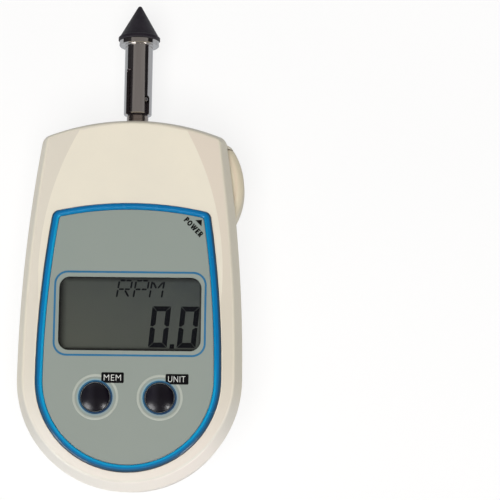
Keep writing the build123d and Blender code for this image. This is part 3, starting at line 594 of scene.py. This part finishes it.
def big_digit(x, y, wd, h, t, gap, on, slant):
    """Seven-segment digit from mitred bars."""
    g = gap / 2
    hm = h / 2
    bars = {
        "a": [(g, h), (wd - g, h), (wd - t - g * 0.3, h - t), (t + g * 0.3, h - t)],
        "d": [(g, 0), (wd - g, 0), (wd - t - g * 0.3, t), (t + g * 0.3, t)],
        "f": [(0, h - g), (0, hm + g + 0.1), (t * 0.45, hm + g), (t, hm + g + t * 0.42), (t, h - t - g * 0.3)],
        "b": [(wd, h - g), (wd, hm + g + 0.1), (wd - t * 0.45, hm + g), (wd - t, hm + g + t * 0.42), (wd - t, h - t - g * 0.3)],
        "e": [(0, g), (0, hm - g - 0.1), (t * 0.45, hm - g), (t, hm - g - t * 0.42), (t, t + g * 0.3)],
        "c": [(wd, g), (wd, hm - g - 0.1), (wd - t * 0.45, hm - g), (wd - t, hm - g - t * 0.42), (wd - t, t + g * 0.3)],
    }
    return [sheared(bars[k], x, y, slant) for k in on]


digits = []
for x in (4.66, 11.84):
    digits += big_digit(x, 36.0, 4.70, 10.47, 1.27, 0.20, "abcdef", 0.093)
digits.append(sheared([(0, 0), (1.12, 0), (1.12, 1.12), (0, 1.12)], 10.05, 35.75, 0.093))
piece("display_digits", *plates(digits, SEG0, SEG1), "segment", "case", "display")


def bar(p, q, t):
    """Thin bar with pointed ends."""
    dx, dy = q[0] - p[0], q[1] - p[1]
    n = math.hypot(dx, dy)
    ux, uy = dx / n, dy / n
    k = t * 0.45
    return [p, (p[0] + ux * k - uy * t / 2, p[1] + uy * k + ux * t / 2), (q[0] - ux * k - uy * t / 2, q[1] - uy * k + ux * t / 2),
            q, (q[0] - ux * k + uy * t / 2, q[1] - uy * k - ux * t / 2), (p[0] + ux * k + uy * t / 2, p[1] + uy * k - ux * t / 2)]


def star_letter(x, y, wd, h, t, on, slant):
    """Starburst letter: half-width top and middle bars, side bars and diagonals."""
    e, m, hm = 0.16, wd / 2, h / 2
    lines = {
        "a1": ((e, h), (m - e / 2, h)), "a2": ((m + e / 2, h), (wd - e, h)),
        "g1": ((e, hm), (m - e / 2, hm)), "g2": ((m + e / 2, hm), (wd - e, hm)),
        "f": ((0, hm + e), (0, h - e)), "b": ((wd, hm + e), (wd, h - e)),
        "e": ((0, e), (0, hm - e)), "c": ((wd, e), (wd, hm - e)),
        "h": ((0.30, h - 0.38), (m - 0.18, hm + 0.28)), "j": ((wd - 0.30, h - 0.38), (m + 0.18, hm + 0.28)),
        "m": ((m + 0.18, hm - 0.28), (wd - 0.22, 0.30)),
    }
    return [sheared(bar(*lines[k], t), x, y, slant) for k in on]


small = []
small += star_letter(-3.50, 48.50, 3.20, 4.45, 0.44, ("a1", "a2", "f", "b", "g1", "g2", "e", "m"), 0.154)
small += star_letter(0.72, 48.50, 3.20, 4.45, 0.44, ("a1", "a2", "f", "b", "g1", "g2", "e"), 0.154)
small += star_letter(4.75, 48.50, 3.05, 4.45, 0.44, ("f", "b", "h", "j", "e", "c"), 0.154)
piece("display_rpm", *plates(small, SEG0, SEG1), "segment", "case", "display")

# ---------------------------------------------------------------- floor, lights, world
fl = bpy.data.meshes.new("floor")
s = 4.0
fl.from_pydata([(-s, -s, -0.00015), (s, -s, -0.00015), (s, s, -0.00015), (-s, s, -0.00015)], [], [(0, 1, 2, 3)])
floor = bpy.data.objects.new("floor", fl)
scene.collection.objects.link(floor)
m = Mat("floor_paper", rough=0.9, specular=0.0)
m.color(m.mix(m.remap(m.noise(6.0, 2.0), 0.3, 0.7, 0.0, 1.0), (0.19, 0.19, 0.19), (0.21, 0.21, 0.21)))
m.b.inputs["Emission Color"].default_value = (1, 1, 1, 1)
m.b.inputs["Emission Strength"].default_value = 0.785
fl.materials.append(m.m)
floor.visible_glossy = False


def aim(ob, at):
    ob.rotation_mode = "QUATERNION"
    ob.rotation_quaternion = (Vector(at) - ob.location).to_track_quat("-Z", "Y")


def area(name, place, at, sx, sy, watts, colour=(1, 1, 1), glossy=True):
    li = bpy.data.lights.new(name, "AREA")
    li.shape = "RECTANGLE"
    li.size, li.size_y = sx, sy
    li.energy = watts
    li.color = colour
    ob = bpy.data.objects.new(name, li)
    scene.collection.objects.link(ob)
    ob.location = place
    aim(ob, at)
    ob.visible_glossy = glossy
    return ob


# large soft light overhead, kept out of the reflections; the soft boxes and dark flags are only seen in the reflections
area("key_soft", (-0.03, -0.33, 1.05), (0, 0, 0.02), 0.60, 0.60, 10.25, (1.0, 0.985, 0.965), False)
for name, place, sx, sy, watts in (("box_left", (-0.62, -0.64, 0.40), 0.52, 0.47, 8.2), ("box_right", (0.57, -0.62, 0.36), 0.16, 0.38, 5.2)):
    box = area(name, place, (0, -0.04, 0.03), sx, sy, watts)
    box.visible_diffuse = False


def flag(name, place, at, sx, sy, tone):
    """Dark card seen only in glossy reflections; it gives the bright metal its dark stripes."""
    side = (Vector(at) - Vector(place)).normalized()
    ax = side.cross(Vector((0, 0, 1))).normalized()
    ay = ax.cross(side)
    me = bpy.data.meshes.new(name)
    me.from_pydata([Vector(place) + ax * a * sx / 2 + ay * b * sy / 2 for a, b in ((-1, -1), (1, -1), (1, 1), (-1, 1))], [], [(0, 1, 2, 3)])
    ob = bpy.data.objects.new(name, me)
    scene.collection.objects.link(ob)
    k = Mat(name, rough=0.9, specular=0.0)
    k.color(k.mix(k.remap(k.noise(8.0, 2.0), 0.3, 0.7, 0.0, 1.0), tuple(tone * v for v in (0.80, 0.74, 0.82)), tuple(tone * v for v in (1.20, 1.14, 1.22))))
    me.materials.append(k.m)
    ob.visible_camera = ob.visible_diffuse = ob.visible_shadow = ob.visible_transmission = False
    return ob


# the bright tube mirrors one on each side
flag("flag_left", (-0.52, 0.15, 0.23), (0, 0.15, 0.23), 0.9, 0.66, 0.042)
flag("flag_right", (0.50, 0.15, 0.20), (0, 0.15, 0.20), 0.9, 0.335, 0.026)


world = bpy.data.worlds.new("studio")
scene.world = world
world.use_nodes = True
wt = world.node_tree
wt.nodes.clear()
wo = wt.nodes.new("ShaderNodeOutputWorld")
bg = wt.nodes.new("ShaderNodeBackground")
tc = wt.nodes.new("ShaderNodeTexCoord")
sp = wt.nodes.new("ShaderNodeSeparateXYZ")
rp = wt.nodes.new("ShaderNodeValToRGB")
half = wt.nodes.new("ShaderNodeMath")
half.operation = "MULTIPLY_ADD"
half.inputs[1].default_value = half.inputs[2].default_value = 0.5
wt.links.new(tc.outputs["Generated"], sp.inputs[0])
wt.links.new(sp.outputs[2], half.inputs[0])
wt.links.new(half.outputs[0], rp.inputs[0])
wt.links.new(rp.outputs[0], bg.inputs[0])
wt.links.new(bg.outputs[0], wo.inputs[0])
ramp = rp.color_ramp
ramp.elements[0].position, ramp.elements[0].color = 0.47, (0.54, 0.57, 0.60, 1)
ramp.elements[1].position, ramp.elements[1].color = 0.95, (0.25, 0.235, 0.225, 1)
mid = ramp.elements.new(0.53)
mid.color = (0.46, 0.48, 0.50, 1)
mid = ramp.elements.new(0.75)
mid.color = (0.31, 0.30, 0.29, 1)
bg.inputs[1].default_value = 1.0
